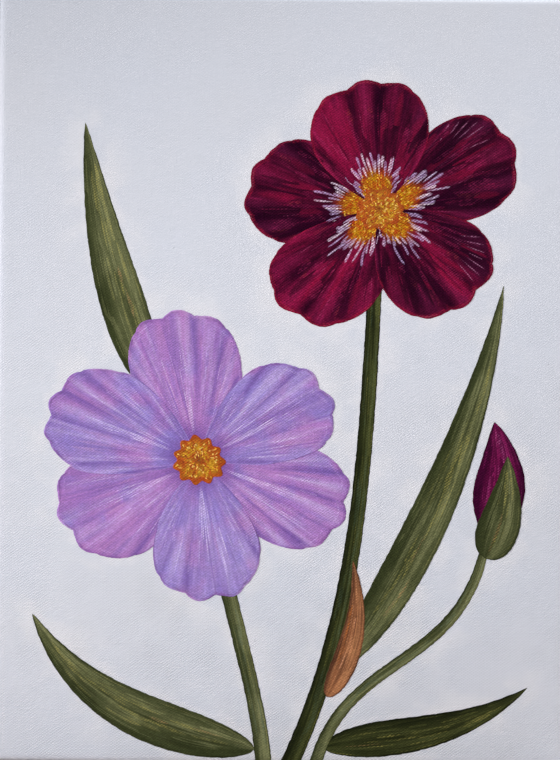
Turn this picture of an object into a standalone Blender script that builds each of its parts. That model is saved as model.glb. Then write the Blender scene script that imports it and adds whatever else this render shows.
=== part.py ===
"""A stretched artist's canvas, 12 by 16 inches and 1 1/2 inches deep, with a painted face.

Four pine stretcher bars meet in mitred corners, each with a tongue in its neighbour's slot,
and wooden keys in the slots tighten the cloth. One cotton cloth covers the front, turns over
the sides and lies on the back, where staples hold it. Thin films of dried paint lie on the
front, one for each painted petal, centre, stem, leaf and bud.

Metres, +Z up. The painted face looks along -Y. The canvas stands on its bottom edge, and the
origin is under its middle.
"""

import math

import bmesh
import bpy
import numpy as np

# The whole canvas
WIDTH = 0.3048
HEIGHT = 0.4064
DEPTH = 0.0381
GAP = 0.0003

# The cloth: its thickness, the radii it takes round the edges and at the corners, and what is
# turned onto the back
CLOTH = 0.0006
FOLD = 0.0024
CORNER = 0.0008
TURN_OVER = 0.017
CAP_INSET = 0.05
LEAST_RADIUS = 0.0002
PLEAT = 0.0006
PLEAT_LENGTH = 0.034

# The stretcher bars, measured inward from the outer face and along the depth
EDGE = CLOTH + GAP
BAR = 0.025
BAR_HALF_DEPTH = DEPTH / 2 - EDGE
LIP = 0.006
LIP_DROP = 0.0035
OUTER_ROUND = 0.0018
INNER_ROUND = 0.003
BACK_ROUND = 0.0012

# The corner joints: a tongue at one depth and a slot at the other, changing places at the other end
TONGUE = 0.005
JOINT_DEPTHS = (-0.005, 0.007)
OVERRUN = 0.002

# The keys: wedges that lie along the neighbour's inner face
KEY_THIN = 0.003
KEY_THICK = 0.0085
KEY_INSET = 0.006
KEY_OUTSTAND = 0.014
KEY_BEVEL = 0.0004

# The staples
CROWN = 0.010
WIRE_WIDTH = 0.0012
WIRE = 0.0006
LEG = 0.0065
STAPLE_INSET = 0.0085
STAPLE_END = 0.037

# The paint films
FILM = 0.0006
FILM_BACK = -(DEPTH / 2 + GAP)
FILM_FRONT = FILM_BACK - FILM

# Each side: its length, its turn about Y, the middle of its outer edge, the names of its two
# ends (first the one at its own -X) and its staples
SIDES = {
    "bottom": (WIDTH, 0, (0, 0, 0), ("left", "right"), 4),
    "right": (HEIGHT, -90, (WIDTH / 2, 0, HEIGHT / 2), ("bottom", "top"), 6),
    "top": (WIDTH, 180, (0, 0, HEIGHT), ("right", "left"), 4),
    "left": (HEIGHT, 90, (-WIDTH / 2, 0, HEIGHT / 2), ("top", "bottom"), 6),
}

# The least angle, in degrees, between faces that meet in a sharp edge
SHARP = 35

# Colour, roughness and metallic value of each material
PINE = ((0.76, 0.58, 0.37), 0.7, 0.0)
BEECH = ((0.72, 0.53, 0.35), 0.65, 0.0)
PRIMED_COTTON = ((0.80, 0.81, 0.86), 0.75, 0.0)
STEEL = ((0.62, 0.63, 0.65), 0.35, 1.0)
LILAC = ((0.34, 0.22, 0.55), 0.45, 0.0)
PINK_LILAC = ((0.42, 0.20, 0.55), 0.45, 0.0)
BURGUNDY = ((0.12, 0.01, 0.04), 0.4, 0.0)
CRIMSON = ((0.20, 0.015, 0.06), 0.4, 0.0)
GOLD = ((0.68, 0.32, 0.02), 0.45, 0.0)
OLIVE = ((0.15, 0.19, 0.07), 0.5, 0.0)
SAP_GREEN = ((0.05, 0.07, 0.02), 0.5, 0.0)
RUSSET = ((0.42, 0.18, 0.07), 0.5, 0.0)
PLUM = ((0.16, 0.01, 0.07), 0.45, 0.0)

# Blossoms: centre, how much they are foreshortened and in which direction, and the petals from
# the first painted to the last: angle, length, half spread, ruffles, phase, bend and colour.
# Angles are in degrees from +X towards +Z.
LILAC_CENTRE = (-0.044, 0.160)
LILAC_VIEW = (0.93, -20)
LILAC_RUFFLE = 0.0030
LILAC_PETALS = (
    (94, 0.084, 42, 7, 0.2, 4, PINK_LILAC),
    (214, 0.082, 43, 7, 0.9, -5, PINK_LILAC),
    (336, 0.082, 42, 7, 0.5, 5, PINK_LILAC),
    (36, 0.080, 40, 7, 1.2, -4, LILAC),
    (154, 0.084, 42, 8, 0.4, 6, LILAC),
    (276, 0.078, 43, 7, 0.8, -3, LILAC),
)
BURGUNDY_CENTRE = (0.050, 0.294)
BURGUNDY_VIEW = (0.88, 25)
BURGUNDY_RUFFLE = 0.0026
BURGUNDY_PETALS = (
    (22, 0.078, 46, 6, 0.3, 6, BURGUNDY),
    (168, 0.074, 48, 7, 0.9, -4, BURGUNDY),
    (96, 0.076, 50, 7, 0.2, 5, CRIMSON),
    (240, 0.074, 50, 6, 1.1, -6, CRIMSON),
    (310, 0.076, 47, 7, 0.6, 4, BURGUNDY),
)

# Stems, leaves and buds, in the order they are painted: name, the four points that steer the
# curve of the middle line, full width, where along it is widest, how full the ends are, width
# at the first end, width at the last end and colour
BLADES = (
    ("leaf_behind", ((-0.068, 0.196), (-0.086, 0.240), (-0.098, 0.280), (-0.106, 0.338)),
     0.024, 0.62, 0.8, 0, 0, OLIVE),
    ("low_leaf", ((0.023, 0.009), (0.048, 0.016), (0.092, 0.012), (0.131, 0.042)),
     0.019, 0.75, 0.85, 0, 0, SAP_GREEN),
    ("bud_stem", ((0.019, 0.003), (0.034, 0.060), (0.096, 0.050), (0.108, 0.118)),
     0.006, 1, 0.1, 0.0065, 0.0044, OLIVE),
    ("burgundy_stem", ((0.005, 0.003), (0.047, 0.090), (0.044, 0.190), (0.050, 0.294)),
     0.008, 1, 0.1, 0.0095, 0.0065, SAP_GREEN),
    ("lilac_stem", ((-0.008, 0.003), (-0.011, 0.040), (-0.030, 0.090), (-0.044, 0.160)),
     0.008, 1, 0.1, 0.0085, 0.0065, OLIVE),
    ("left_leaf", ((-0.013, 0.008), (-0.052, 0.016), (-0.104, 0.026), (-0.131, 0.078)),
     0.024, 0.75, 0.8, 0, 0, OLIVE),
    ("right_leaf", ((0.026, 0.048), (0.062, 0.084), (0.104, 0.176), (0.116, 0.254)),
     0.022, 0.75, 0.9, 0, 0, OLIVE),
    ("sheath", ((0.025, 0.036), (0.037, 0.056), (0.044, 0.078), (0.038, 0.108)),
     0.013, 0.6, 0.8, 0, 0, RUSSET),
    ("bud_petal", ((0.107, 0.122), (0.116, 0.138), (0.118, 0.156), (0.112, 0.182)),
     0.027, 0.85, 0.8, 0, 0, PLUM),
    ("bud_sepal", ((0.108, 0.110), (0.116, 0.126), (0.120, 0.142), (0.119, 0.164)),
     0.022, 0.6, 0.8, 0, 0, OLIVE),
)


def material(name, finish):
    colour, roughness, metallic = finish
    made = bpy.data.materials.new(name)
    made.use_nodes = True
    shader = made.node_tree.nodes["Principled BSDF"]
    shader.inputs["Base Color"].default_value = (*colour, 1)
    shader.inputs["Roughness"].default_value = roughness
    shader.inputs["Metallic"].default_value = metallic
    return made


def add_object(name, mesh, finish=None):
    """The mesh as an object. Without a finish it is a cutter, which isn't rendered."""
    data = bpy.data.meshes.new(name)
    bmesh.ops.recalc_face_normals(mesh, faces=mesh.faces)
    mesh.to_mesh(data)
    mesh.free()
    data.shade_smooth()
    data.set_sharp_from_angle(angle=math.radians(SHARP))
    made = bpy.data.objects.new(name, data)
    bpy.context.scene.collection.objects.link(made)
    if finish is None:
        made.hide_render = True
        made.display_type = "WIRE"
    else:
        data.materials.append(material(name, finish))
    return made


def extruded(name, corners, vector, finish=None):
    """A solid: a flat face with these corners, drawn out along the vector."""
    mesh = bmesh.new()
    face = mesh.faces.new([mesh.verts.new(corner) for corner in corners])
    drawn = bmesh.ops.extrude_face_region(mesh, geom=[face])
    moved = [item for item in drawn["geom"] if isinstance(item, bmesh.types.BMVert)]
    bmesh.ops.translate(mesh, vec=vector, verts=moved)
    return add_object(name, mesh, finish)


def prism(name, outline, low, high, finish=None):
    """A solid with one outline in X and Z, from one depth to the other."""
    corners = [(x, low, z) for x, z in outline]
    return extruded(name, corners, (0, high - low, 0), finish)


def boolean(made, operation, others):
    """Cuts the other objects from this one, or joins them to it."""
    group = bpy.data.collections.new(f"{made.name}_{operation.lower()}")
    for other in others:
        group.objects.link(other)
    modifier = made.modifiers.new(operation.title(), "BOOLEAN")
    modifier.operation = operation
    modifier.operand_type = "COLLECTION"
    modifier.collection = group


def bevelled(made, width):
    modifier = made.modifiers.new("Bevel", "BEVEL")
    modifier.width = width
    modifier.segments = 2


def on_side(made, side):
    """Turns what was made for a side, with X along it and Z inward, to where the side is."""
    _, turn, middle, _, _ = SIDES[side]
    made.rotation_euler = (0, math.radians(turn), 0)
    made.location = middle
    return made


def arc(centre, radius, first, last, steps=4):
    """Points on an arc, with the angles in degrees."""
    angles = np.radians(np.linspace(first, last, steps + 1))
    return [(centre[0] + radius * math.cos(a), centre[1] + radius * math.sin(a)) for a in angles]


def bar_profile():
    """The bar's section, as points of depth and distance inward: a lip, then a falling face."""
    front = -BAR_HALF_DEPTH
    back = BAR_HALF_DEPTH
    inner = EDGE + BAR
    return [
        *arc((front + OUTER_ROUND, EDGE + OUTER_ROUND), OUTER_ROUND, 270, 180),
        (front, EDGE + LIP),
        (front + LIP_DROP * 0.6, EDGE + LIP + 0.002),
        *arc((front + LIP_DROP + INNER_ROUND, inner - INNER_ROUND), INNER_ROUND, 180, 90),
        *arc((back - BACK_ROUND, inner - BACK_ROUND), BACK_ROUND, 90, 0, 2),
        *arc((back - BACK_ROUND, EDGE + BACK_ROUND), BACK_ROUND, 0, -90, 2),
    ]


def end_outline(length, end, points):
    """Points given by their distance from the corner along the bar and inward, for one end."""
    return [(end * (length / 2 - along), inward) for along, inward in points]


def key_height(inward):
    """How thick a key is at a distance from the outer face."""
    thin_end = EDGE + KEY_INSET
    run = BAR - KEY_INSET + KEY_OUTSTAND
    return KEY_THIN + (KEY_THICK - KEY_THIN) * (inward - thin_end) / run


def joint_cutters(side, length, end):
    """What a bar loses at one end: the mitre beside its tongue, and its slot with room for the key."""
    tongue, slot = JOINT_DEPTHS if end > 0 else JOINT_DEPTHS[::-1]
    mitre_gap = GAP * 0.75
    reach = EDGE + BAR + OVERRUN
    mitre = end_outline(length, end, (
        (mitre_gap - OVERRUN, -OVERRUN),
        (mitre_gap + reach, reach),
        (-2 * OVERRUN, reach),
        (-2 * OVERRUN, -OVERRUN),
    ))
    key_face = EDGE + BAR + 2 * GAP
    slot_outline = end_outline(length, end, (
        (-OVERRUN, -OVERRUN),
        (key_face + key_height(-OVERRUN), -OVERRUN),
        (key_face + key_height(reach), reach),
        (-OVERRUN, reach),
    ))
    past_back = DEPTH / 2
    name = f"{side}_{'far' if end > 0 else 'near'}"
    half_slot = TONGUE / 2 + GAP
    return [
        prism(name + "_front_mitre", mitre, -past_back, tongue - TONGUE / 2),
        prism(name + "_back_mitre", mitre, tongue + TONGUE / 2, past_back),
        prism(name + "_slot", slot_outline, slot - half_slot, slot + half_slot),
    ]


def staple_places(length, count):
    return np.linspace(STAPLE_END - length / 2, length / 2 - STAPLE_END, count)


def leg_holes(side):
    """Holes for the staples' legs, through the turned-over cloth and into the bar."""
    length, _, _, _, count = SIDES[side]
    half_width = WIRE / 2 + GAP
    half_height = WIRE_WIDTH / 2 + GAP
    tip = DEPTH / 2 - LEG - GAP
    holes = []
    for place in staple_places(length, count):
        for leg in (-1, 1):
            x = place + leg * (CROWN - WIRE) / 2
            outline = (
                (x - half_width, STAPLE_INSET - half_height),
                (x + half_width, STAPLE_INSET - half_height),
                (x + half_width, STAPLE_INSET + half_height),
                (x - half_width, STAPLE_INSET + half_height),
            )
            hole = prism(f"{side}_leg_hole_{len(holes) + 1}", outline, tip, DEPTH / 2 + OVERRUN)
            holes.append(on_side(hole, side))
    return holes


def stretcher_bar(side, holes):
    length = SIDES[side][0]
    stock = length / 2 - EDGE
    corners = [(-stock, depth, inward) for depth, inward in bar_profile()]
    bar = extruded(f"stretcher_bar_{side}", corners, (2 * stock, 0, 0), PINE)
    on_side(bar, side)
    cutters = [cutter for end in (-1, 1) for cutter in joint_cutters(side, length, end)]
    for cutter in cutters:
        on_side(cutter, side)
    boolean(bar, "DIFFERENCE", cutters + holes)


def key(side, end, end_name):
    """A wedge in the slot at one end of a bar, along the inner face of the neighbouring bar."""
    length = SIDES[side][0]
    slot = JOINT_DEPTHS[1] if end > 0 else JOINT_DEPTHS[0]
    along = EDGE + BAR + GAP
    thin_end = EDGE + KEY_INSET
    thick_end = EDGE + BAR + KEY_OUTSTAND
    outline = end_outline(length, end, (
        (along, thin_end),
        (along + key_height(thin_end), thin_end),
        (along + key_height(thick_end), thick_end),
        (along, thick_end),
    ))
    name = f"key_{side}_bar_{end_name}"
    wedge = prism(name, outline, slot - TONGUE / 2, slot + TONGUE / 2, BEECH)
    on_side(wedge, side)
    bevelled(wedge, KEY_BEVEL)


def staple(name, side, place):
    """A U of flat wire, with its crown on the turned-over cloth."""
    crown_back = DEPTH / 2 + GAP + WIRE
    crown_front = DEPTH / 2 + GAP
    tip = DEPTH / 2 - LEG
    half = CROWN / 2
    low = STAPLE_INSET - WIRE_WIDTH / 2
    outline = (
        (-half, crown_back), (half, crown_back), (half, tip), (half - WIRE, tip),
        (half - WIRE, crown_front), (WIRE - half, crown_front), (WIRE - half, tip), (-half, tip),
    )
    corners = [(place + x, depth, low) for x, depth in outline]
    on_side(extruded(name, corners, (0, 0, WIRE_WIDTH), STEEL), side)


def ring(mesh, inset, depth):
    """A rectangle with round corners, this far inside the canvas's outline."""
    radius = max(CORNER - inset, LEAST_RADIUS)
    half_width = WIDTH / 2 - inset - radius
    half_height = HEIGHT / 2 - inset - radius
    points = []
    for turn, across, up in ((0, 1, 1), (90, -1, 1), (180, -1, -1), (270, 1, -1)):
        corner = (across * half_width, HEIGHT / 2 + up * half_height)
        points += arc(corner, radius, turn, turn + 90, 3)
    return [mesh.verts.new((x, depth, z)) for x, z in points]


def cloth_section():
    """Inset and depth of each ring, over the outside to the turned-over edge and back inside."""
    front = -DEPTH / 2
    back = DEPTH / 2
    outer = [
        (CAP_INSET, front),
        *arc((FOLD, front + FOLD), FOLD, 270, 180),
        *arc((FOLD, back - FOLD), FOLD, 180, 90),
        (TURN_OVER, back),
    ]
    inside = FOLD - CLOTH
    inner = [
        (TURN_OVER, back - CLOTH),
        *arc((FOLD, back - FOLD), inside, 90, 180),
        *arc((FOLD, front + FOLD), inside, 180, 270),
        (CAP_INSET, front + CLOTH),
    ]
    return outer + inner


def pleats():
    """The folded corners: a triangle of doubled cloth on the side, and a square lap on the back."""
    folded = []
    sunk = CLOTH / 2
    for side in ("left", "right"):
        length = SIDES[side][0]
        for end in (-1, 1):
            near = end * (length / 2 - FOLD)
            far = end * (length / 2 - PLEAT_LENGTH)
            inner = end * (length / 2 - TURN_OVER + FOLD / 2)
            front = FOLD - DEPTH / 2
            back = DEPTH / 2 - FOLD
            triangle = [(near, front, sunk), (near, back, sunk), (far, back, sunk)]
            fold = extruded(f"{side}_pleat_{end}", triangle, (0, 0, -sunk - PLEAT))
            top = TURN_OVER - FOLD / 2
            square = ((near, FOLD), (inner, FOLD), (inner, top), (near, top))
            lap = prism(f"{side}_lap_{end}", square, DEPTH / 2 - sunk, DEPTH / 2 + PLEAT)
            folded += [on_side(fold, side), on_side(lap, side)]
    return folded


def canvas(holes):
    """One cloth over the front, the sides and the edge of the back."""
    mesh = bmesh.new()
    rings = [ring(mesh, inset, depth) for inset, depth in cloth_section()]
    for first, second in zip(rings, rings[1:]):
        for i in range(len(first)):
            mesh.faces.new((first[i - 1], first[i], second[i], second[i - 1]))
    mesh.faces.new(rings[0])
    mesh.faces.new(rings[-1])
    cloth = add_object("canvas", mesh, PRIMED_COTTON)
    boolean(cloth, "UNION", pleats())
    boolean(cloth, "DIFFERENCE", holes)


def petal_edge(across, length, ruffles, depth, phase):
    """How far a petal reaches from the centre: a full dome, with a ruffled rim."""
    dome = (1 - abs(across) ** 2.6) ** 0.62
    waves = 0.65 * abs(math.cos(math.pi * ruffles * across / 2 + phase)) ** 0.7
    swell = 0.35 * math.cos(2.3 * ruffles * across + 2 * phase)
    return length * dome + depth * (waves + swell - 0.6) * min(1, 1.8 * dome) ** 2


def foreshortened(centre, view, x, z):
    """A point round a blossom's centre, drawn in along one direction."""
    squeeze, direction = view
    turn = math.radians(direction)
    along = x * math.cos(turn) + z * math.sin(turn)
    aside = squeeze * (z * math.cos(turn) - x * math.sin(turn))
    return (
        centre[0] + along * math.cos(turn) - aside * math.sin(turn),
        centre[1] + along * math.sin(turn) + aside * math.cos(turn),
    )


def petal_outline(centre, view, depth, petal, points=72):
    angle, length, spread, ruffles, phase, bend, _ = petal
    outline = []
    for i in range(points):
        across = -1 + 2 * (i + 0.5) / points
        reach = petal_edge(across, length, ruffles, depth, phase)
        turn = math.radians(angle + spread * across + bend * reach / length)
        outline.append(foreshortened(centre, view, reach * math.cos(turn), reach * math.sin(turn)))
    return outline


def centre_outline(centre, view, radius, teeth, depth, points=54):
    """A blossom's centre: a disc with a toothed rim."""
    outline = []
    for i in range(points):
        turn = 2 * math.pi * i / points
        reach = radius + depth * (math.cos(teeth * turn) + 0.4 * math.cos(3 * turn + 1))
        outline.append(foreshortened(centre, view, reach * math.cos(turn), reach * math.sin(turn)))
    return outline


def blade_outline(steer, width, widest, fullness, first_width, last_width, points=26):
    """A stem, leaf or bud: a curved middle line with a width that changes along it."""
    t = np.linspace(0, 1, points)
    weights = np.stack([(1 - t) ** 3, 3 * t * (1 - t) ** 2, 3 * t**2 * (1 - t), t**3], axis=1)
    line = weights @ np.array(steer)
    along = np.gradient(line, axis=0)
    along /= np.linalg.norm(along, axis=1)[:, None]
    aside = np.stack([-along[:, 1], along[:, 0]], axis=1)
    swell = width * np.maximum(np.sin(np.pi * t**widest), 0) ** fullness
    half = np.maximum(swell, first_width * (1 - t) + last_width * t)[:, None] / 2
    left = (line + aside * half)[0 if first_width else 1 : None if last_width else -1]
    right = (line - aside * half)[::-1]
    return [tuple(point) for point in (*left, *right)]


def grown(outline, by):
    """The outline moved outward by a distance."""
    points = np.array(outline)
    along = np.roll(points, -1, axis=0) - np.roll(points, 1, axis=0)
    along /= np.linalg.norm(along, axis=1)[:, None]
    aside = np.stack([along[:, 1], -along[:, 0]], axis=1)
    area = np.sum(points[:, 0] * np.roll(points[:, 1], -1) - np.roll(points[:, 0], -1) * points[:, 1])
    return [tuple(point) for point in points + aside * by * np.sign(area)]


def painted_forms():
    """Name, outline and finish of every painted form, from the first painted to the last."""
    forms = []
    for name, *shape, finish in BLADES:
        forms.append((name, blade_outline(*shape), finish))
    for i, petal in enumerate(BURGUNDY_PETALS):
        outline = petal_outline(BURGUNDY_CENTRE, BURGUNDY_VIEW, BURGUNDY_RUFFLE, petal)
        forms.append((f"burgundy_petal_{i + 1}", outline, petal[-1]))
    outline = centre_outline(BURGUNDY_CENTRE, BURGUNDY_VIEW, 0.012, 9, 0.0011)
    forms.append(("burgundy_centre", outline, GOLD))
    for i, petal in enumerate(LILAC_PETALS):
        outline = petal_outline(LILAC_CENTRE, LILAC_VIEW, LILAC_RUFFLE, petal)
        forms.append((f"lilac_petal_{i + 1}", outline, petal[-1]))
    outline = centre_outline(LILAC_CENTRE, LILAC_VIEW, 0.013, 11, 0.0012)
    forms.append(("lilac_centre", outline, GOLD))
    return forms


def boxes_meet(first, second):
    first = np.array(first)
    second = np.array(second)
    apart = (first.min(axis=0) > second.max(axis=0)) | (second.min(axis=0) > first.max(axis=0))
    return not apart.any()


def paint_films():
    """Each film stops short of the films painted over it."""
    forms = painted_forms()
    cutters = [
        prism(f"{name}_edge", grown(outline, GAP), FILM_FRONT - OVERRUN, FILM_BACK + OVERRUN)
        for name, outline, _ in forms
    ]
    for i, (name, outline, finish) in enumerate(forms):
        film = prism(f"paint_{name}", outline, FILM_FRONT, FILM_BACK, finish)
        later = range(i + 1, len(forms))
        over = [cutters[j] for j in later if boxes_meet(outline, forms[j][1])]
        if over:
            boolean(film, "DIFFERENCE", over)


def main():
    for old in list(bpy.data.objects):
        bpy.data.objects.remove(old)
    holes = {side: leg_holes(side) for side in SIDES}
    canvas([hole for side in SIDES for hole in holes[side]])
    for side, (length, _, _, end_names, count) in SIDES.items():
        stretcher_bar(side, holes[side])
        for end, end_name in zip((-1, 1), end_names):
            key(side, end, end_name)
        for i, place in enumerate(staple_places(length, count)):
            staple(f"staple_{side}_{i + 1}", side, place)
    paint_films()


main()
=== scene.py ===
"""The looks of a stretched canvas with a flower painting: its cloth, its paint, its wood and its staples.

The cloth is one mesh with the weave in its material. Each painted form is a film of paint over a grid that
follows the form, so that streaks, veins and brush strokes run along petals and leaves. Colours are written as
they look under the scene's light, in sRGB from 0 to 255.
"""

import math

import bpy
import numpy as np
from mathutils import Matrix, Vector


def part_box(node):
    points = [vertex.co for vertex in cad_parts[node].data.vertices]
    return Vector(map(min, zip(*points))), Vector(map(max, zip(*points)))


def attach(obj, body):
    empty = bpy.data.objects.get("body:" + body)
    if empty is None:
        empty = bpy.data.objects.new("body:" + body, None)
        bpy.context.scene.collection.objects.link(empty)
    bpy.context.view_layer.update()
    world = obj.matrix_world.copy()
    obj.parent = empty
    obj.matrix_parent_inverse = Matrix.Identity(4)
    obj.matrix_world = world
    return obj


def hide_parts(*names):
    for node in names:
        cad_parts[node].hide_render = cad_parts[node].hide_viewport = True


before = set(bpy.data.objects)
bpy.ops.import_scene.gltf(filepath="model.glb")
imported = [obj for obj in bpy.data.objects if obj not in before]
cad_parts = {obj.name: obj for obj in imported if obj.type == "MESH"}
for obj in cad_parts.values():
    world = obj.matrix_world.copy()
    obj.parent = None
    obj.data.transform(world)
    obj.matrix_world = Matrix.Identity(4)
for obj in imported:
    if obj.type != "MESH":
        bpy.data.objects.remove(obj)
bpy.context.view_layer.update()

# The canvas, as in the frame but for the wider fold at the front
WIDTH = 0.3048
HEIGHT = 0.4064
DEPTH = 0.0381
CLOTH = 0.0006
FOLD = 0.0038
BACK_FOLD = 0.0024
CORNER = 0.0008
TURN_OVER = 0.017
FRONT = -DEPTH / 2
BACK = DEPTH / 2
GRID = 0.0021
UNEVEN = 0.00004

# The pleats, which are pressed a little into the cloth, and the loose threads
PLEAT = 0.0006
PLEAT_START = 0.0007
PLEAT_LENGTH = 0.034
PRESSED = 0.0001
THREADS = 150
THREAD_RADIUS = 0.00012

# The staples
CROWN = 0.010
WIRE_WIDTH = 0.0012
WIRE = 0.0006
LEGS = 0.0060
SHOULDER = 0.0010

# The paint: how thick its first layer is, how far apart the layers lie, how high a stroke lies over the film
# and over the stroke before it, how high its middle and how low its edges are, how deep a film's edge goes,
# and how rough the outlines and the films are
FIRST_COAT = 0.00006
COAT = 0.00010
STROKE_LIFT = 0.000010
PASS_LIFT = 0.0000002
STROKE_CROWN = 0.00007
STROKE_EDGE = 0.00004
SUNK = 0.00005
ROUGH_EDGE = 0.00022
RELIEF = 0.00003

# The brush: a dab's width, a leaf's stroke's length, how far apart a leaf's rows of points lie, and the half
# width of a broad leaf, by which its strokes are counted
DAB = 0.0009
LEAF_STROKE = 0.030
LEAF_ROW = 0.0011
LEAF_HALF = 0.011

# What the light gives back of a surface's colour, so that colours can be written as they look
LIGHT_LEVEL = 0.92

# The weave: the threads' pitch across and up, and how far the cloth is off its grain
WEFT_PITCH = 0.00103
WARP_PITCH = 0.00071
OFF_GRAIN = math.radians(0.9)

GROUND = (200, 204, 214)
CREAM = (212, 213, 219)
HALO = 0.75

# Blossoms, as in the frame: centre, foreshortening and its direction, and ruffle. For each petal: its angle,
# length, half spread, ruffles, phase, bend and layer of paint
LILAC = ((-0.044, 0.160), (0.93, -20), 0.0030)
LILAC_PETALS = (
    (94, 0.084, 42, 7, 0.2, 4, 2),
    (214, 0.082, 43, 7, 0.9, -5, 2),
    (336, 0.082, 42, 7, 0.5, 5, 2),
    (36, 0.080, 40, 7, 1.2, -4, 3),
    (154, 0.084, 42, 8, 0.4, 6, 3),
    (276, 0.078, 43, 7, 0.8, -3, 3),
)
BURGUNDY = ((0.050, 0.294), (0.88, 25), 0.0026)
BURGUNDY_PETALS = (
    (22, 0.078, 46, 6, 0.3, 6, 2),
    (168, 0.074, 48, 7, 0.9, -4, 2),
    (96, 0.076, 50, 7, 0.2, 5, 3),
    (240, 0.074, 50, 6, 1.1, -6, 3),
    (310, 0.076, 47, 7, 0.6, 4, 4),
)
CENTRE_LAYER = 5

# Stems, leaves and buds, as in the frame: the points that steer the middle line, width, where it is widest,
# how full its ends are, the widths of its ends, the layer of paint, and the slot. The stems run over the
# lower fold as far as LOWEST.
LOWEST = 0.0010
BLADES = {
    "leaf_behind": (((-0.068, 0.196), (-0.086, 0.240), (-0.098, 0.280), (-0.106, 0.338)),
                    0.024, 0.62, 0.8, 0, 0, 0, "olive_paint"),
    "low_leaf": (((0.023, 0.009), (0.048, 0.016), (0.092, 0.012), (0.131, 0.042)),
                 0.019, 0.75, 0.85, 0, 0, 0, "sap_green_paint"),
    "bud_stem": (((0.019, -0.001), (0.034, 0.060), (0.096, 0.050), (0.108, 0.118)),
                 0.006, 1, 0.1, 0.0065, 0.0044, 1, "olive_paint"),
    "burgundy_stem": (((0.005, -0.001), (0.047, 0.090), (0.044, 0.190), (0.050, 0.294)),
                      0.008, 1, 0.1, 0.0095, 0.0065, 1, "sap_green_paint"),
    "lilac_stem": (((-0.008, -0.001), (-0.011, 0.040), (-0.030, 0.090), (-0.044, 0.160)),
                   0.008, 1, 0.1, 0.0085, 0.0065, 1, "olive_paint"),
    "left_leaf": (((-0.013, 0.008), (-0.052, 0.016), (-0.104, 0.026), (-0.131, 0.078)),
                  0.024, 0.75, 0.8, 0, 0, 2, "olive_paint"),
    "right_leaf": (((0.026, 0.048), (0.062, 0.084), (0.104, 0.176), (0.116, 0.254)),
                   0.022, 0.75, 0.9, 0, 0, 2, "olive_paint"),
    "sheath": (((0.025, 0.036), (0.037, 0.056), (0.044, 0.078), (0.038, 0.108)),
               0.013, 0.6, 0.8, 0, 0, 3, "russet_paint"),
    "bud_petal": (((0.107, 0.122), (0.116, 0.138), (0.118, 0.156), (0.112, 0.182)),
                  0.027, 0.85, 0.8, 0, 0, 2, "plum_paint"),
    "bud_sepal": (((0.108, 0.110), (0.116, 0.126), (0.120, 0.142), (0.119, 0.164)),
                  0.022, 0.6, 0.8, 0, 0, 3, "olive_paint"),
}

# The base, dark, light and highlight of each slot's paint
YELLOW_GREEN = (156, 146, 76)
PALETTES = {
    "olive_paint": ((94, 98, 66), (42, 48, 24), (130, 132, 92), YELLOW_GREEN),
    "sap_green_paint": ((50, 55, 26), (20, 24, 8), (86, 90, 50), YELLOW_GREEN),
    "russet_paint": ((140, 90, 58), (76, 46, 32), (190, 134, 92), (214, 158, 116)),
    "plum_paint": ((98, 14, 60), (46, 4, 34), (146, 40, 98), (172, 92, 140)),
}
TAN = (166, 128, 84)
BLUE_GREEN = (70, 92, 84)


# Noise and colour

def lattice_noise(x, y, seed, cells=64):
    """Smooth noise from 0 to 1, with one cell to a unit."""
    table = np.random.default_rng(seed).random((cells, cells))
    x, y = np.broadcast_arrays(np.asarray(x, float), np.asarray(y, float))
    column, row = np.floor(x).astype(int), np.floor(y).astype(int)
    s, t = (part * part * (3 - 2 * part) for part in (x - column, y - row))
    column, row = column % cells, row % cells
    right, above = (column + 1) % cells, (row + 1) % cells
    low = table[column, row] * (1 - s) + table[right, row] * s
    high = table[column, above] * (1 - s) + table[right, above] * s
    return low * (1 - t) + high * t


def layered_noise(x, y, seed, octaves=3):
    """Noise from 0 to 1 with finer and weaker noise added."""
    total = 0
    weight = 0
    for i in range(octaves):
        share = 0.55**i
        total = total + share * lattice_noise(x * 2**i, y * 2**i, seed + 17 * i)
        weight += share
    return total / weight


def step(low, high, value):
    t = np.clip((value - low) / (high - low), 0, 1)
    return t * t * (3 - 2 * t)


def mix(first, second, share):
    """Colours between two, by a share for each point."""
    share = np.clip(np.asarray(share, float), 0, 1)[..., None]
    return np.asarray(first, float) * (1 - share) + np.asarray(second, float) * share


def coated(colour, *coats):
    """A colour with others laid over it, each by its own share."""
    for coat, share in coats:
        colour = mix(colour, coat, share)
    return colour


def linear(colour):
    """A colour as it looks, in sRGB from 0 to 255, as the surface's own linear colour."""
    c = np.clip(np.asarray(colour, float) / 255, 0, 1)
    light = np.where(c <= 0.04045, c / 12.92, ((c + 0.055) / 1.055) ** 2.4)
    return np.clip(light / LIGHT_LEVEL, 0, 0.95)


# Where each form lies on the face. A place is a function of across, from -1 to 1, and along, from 0 to 1.

def foreshortened(centre, view, reach, turn):
    """The point of a blossom at this distance and angle from its centre."""
    squeeze, direction = view
    tilt = math.radians(direction)
    x = reach * np.cos(turn)
    z = reach * np.sin(turn)
    ahead = x * math.cos(tilt) + z * math.sin(tilt)
    aside = squeeze * (z * math.cos(tilt) - x * math.sin(tilt))
    return (centre[0] + ahead * math.cos(tilt) - aside * math.sin(tilt),
            centre[1] + ahead * math.sin(tilt) + aside * math.cos(tilt))


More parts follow.
